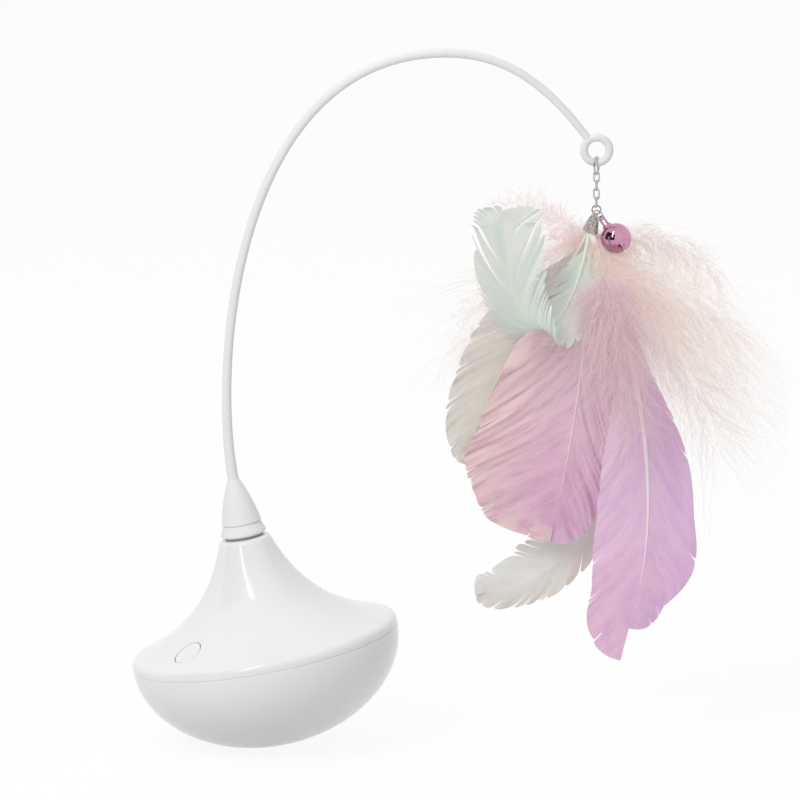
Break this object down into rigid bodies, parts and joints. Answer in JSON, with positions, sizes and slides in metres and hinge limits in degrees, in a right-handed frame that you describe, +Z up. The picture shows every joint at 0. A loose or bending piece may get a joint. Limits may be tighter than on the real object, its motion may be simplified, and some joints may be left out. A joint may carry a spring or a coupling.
{
  "type": "automatic cat teaser toy",
  "caption": "Leaning round-bottomed cat teaser base with a geared turning wand that carries a small bell and a hanging bunch of feathers and down.",
  "frame": {"origin": "the point where the round bowl touches the floor, with the base leaning 10.5 degrees as it rests", "axes": "+Z up, +X from the base towards the hanging feathers, +Y away from the side that the picture shows"},
  "size_m": [0.2161, 0.094, 0.246],
  "materials": {
    "white_shell": "glossy moulded ABS",
    "white_wand": "glossy moulded polymer",
    "dark_washer": "matte",
    "weight_steel": "cast, dull",
    "screw_steel": "zinc plated",
    "foam": "foam",
    "cell_wrap": "pouch foil",
    "switch_black": "moulded",
    "board_green": "solder mask",
    "port_steel": "nickel plated",
    "gear_white": "moulded acetal",
    "shaft_steel": "ground",
    "case_grey": "moulded",
    "motor_can": "drawn",
    "magnet": "sintered",
    "terminal_brass": "plain",
    "chain_metal": "polished",
    "glitter_cap": "glitter coated",
    "bell_pink": "pink lilac plated",
    "pellet_steel": "plain",
    "feather_lilac": "feather",
    "feather_pink": "feather",
    "feather_sage": "feather",
    "feather_white": "feather",
    "feather_mint": "feather",
    "down_beige": "down"
  },
  "bodies": {
    "base": {"lower_bowl": "white_shell", "upper_cover": "white_shell", "counterweight": "weight_steel", "counterweight_screws": "screw_steel", "battery_pad": "foam", "battery_cell": "cell_wrap", "tact_switch": "switch_black", "switch_board": "board_green", "switch_board_screws": "screw_steel", "main_board": "board_green", "main_board_screws": "screw_steel", "charging_socket": "port_steel", "gear_pins": "shaft_steel", "gear_case_lower": "case_grey", "gear_case_lid": "case_grey", "gear_case_screws": "screw_steel", "motor_can": "motor_can", "motor_tail_cap": "case_grey", "motor_terminals": "terminal_brass", "motor_magnets": "magnet", "neck_bushing": "case_grey", "dust_washer": "dark_washer"},
    "drive": {"spindle": "shaft_steel", "output_gear": "gear_white", "spindle_clip": "shaft_steel", "arm_collar": "white_wand", "wand_arm": "white_wand"},
    "second": {"second_gear": "gear_white"},
    "first": {"first_gear": "gear_white"},
    "motor": {"motor_rotor": "shaft_steel", "motor_pinion": "terminal_brass"},
    "button": {"power_button": "white_shell", "switch_plunger": "switch_black"},
    "ring": {"jump_ring": "chain_metal"},
    "chain": {"chain_link_1": "chain_metal", "chain_link_2": "chain_metal", "chain_link_3": "chain_metal", "chain_link_4": "chain_metal"},
    "lure": {"end_cap": "glitter_cap", "bell_ring": "chain_metal", "lilac_feather": "feather_lilac", "pink_feather": "feather_pink", "sage_feather": "feather_sage", "white_feather": "feather_white", "mint_feather": "feather_mint", "down_right_high": "down_beige", "down_right_middle": "down_beige", "down_right_low": "down_beige", "down_front": "down_beige", "down_left_low": "down_beige", "down_back": "down_beige", "down_left_high": "down_beige"},
    "bell": {"bell_shell": "bell_pink", "bell_pellet": "pellet_steel"}
  },
  "joints": [
    {"name": "arm_spin", "type": "hinge", "parent": "base", "child": "drive", "pos_m": [0.00517, 0, 0.03508], "axis": [-0.1822, 0, 0.9833], "continuous": true},
    {"name": "second_gear_spin", "type": "hinge", "parent": "base", "child": "second", "pos_m": [0.00517, 0.0125, 0.03508], "axis": [-0.1822, 0, 0.9833], "continuous": true},
    {"name": "first_gear_spin", "type": "hinge", "parent": "base", "child": "first", "pos_m": [0.01542, 0.00764, 0.03698], "axis": [-0.1822, 0, 0.9833], "continuous": true},
    {"name": "motor_spin", "type": "hinge", "parent": "base", "child": "motor", "pos_m": [0.01738, -0.00368, 0.03735], "axis": [-0.1822, 0, 0.9833], "continuous": true},
    {"name": "button_press", "type": "slide", "parent": "base", "child": "button", "axis": [0.1822, 0, -0.9833], "range_m": [0, 0.0006], "stiffness_N_per_m": 500},
    {"name": "ring_swing", "type": "hinge", "parent": "drive", "child": "ring", "pos_m": [0.1204, 0, 0.21055], "axis": [0, 1, 0], "range_deg": [-60, 12]},
    {"name": "chain_swing", "type": "hinge", "parent": "ring", "child": "chain", "pos_m": [0.1204, 0, 0.2051], "axis": [0.9681, -0.2504, 0], "range_deg": [-25, 25]},
    {"name": "lure_swing", "type": "hinge", "parent": "chain", "child": "lure", "pos_m": [0.1204, 0, 0.19045], "axis": [0.2504, 0.9681, 0], "range_deg": [-20, 10]},
    {"name": "bell_swing", "type": "hinge", "parent": "lure", "child": "bell", "pos_m": [0.12238, -0.002, 0.18653], "axis": [0, 1, 0], "range_deg": [-30, 0]}
  ],
  "couplings": [
    {"joint": "second_gear_spin", "follows": "arm_spin", "ratio": -4},
    {"joint": "first_gear_spin", "follows": "arm_spin", "ratio": 14.4},
    {"joint": "motor_spin", "follows": "arm_spin", "ratio": -51.84}
  ]
}
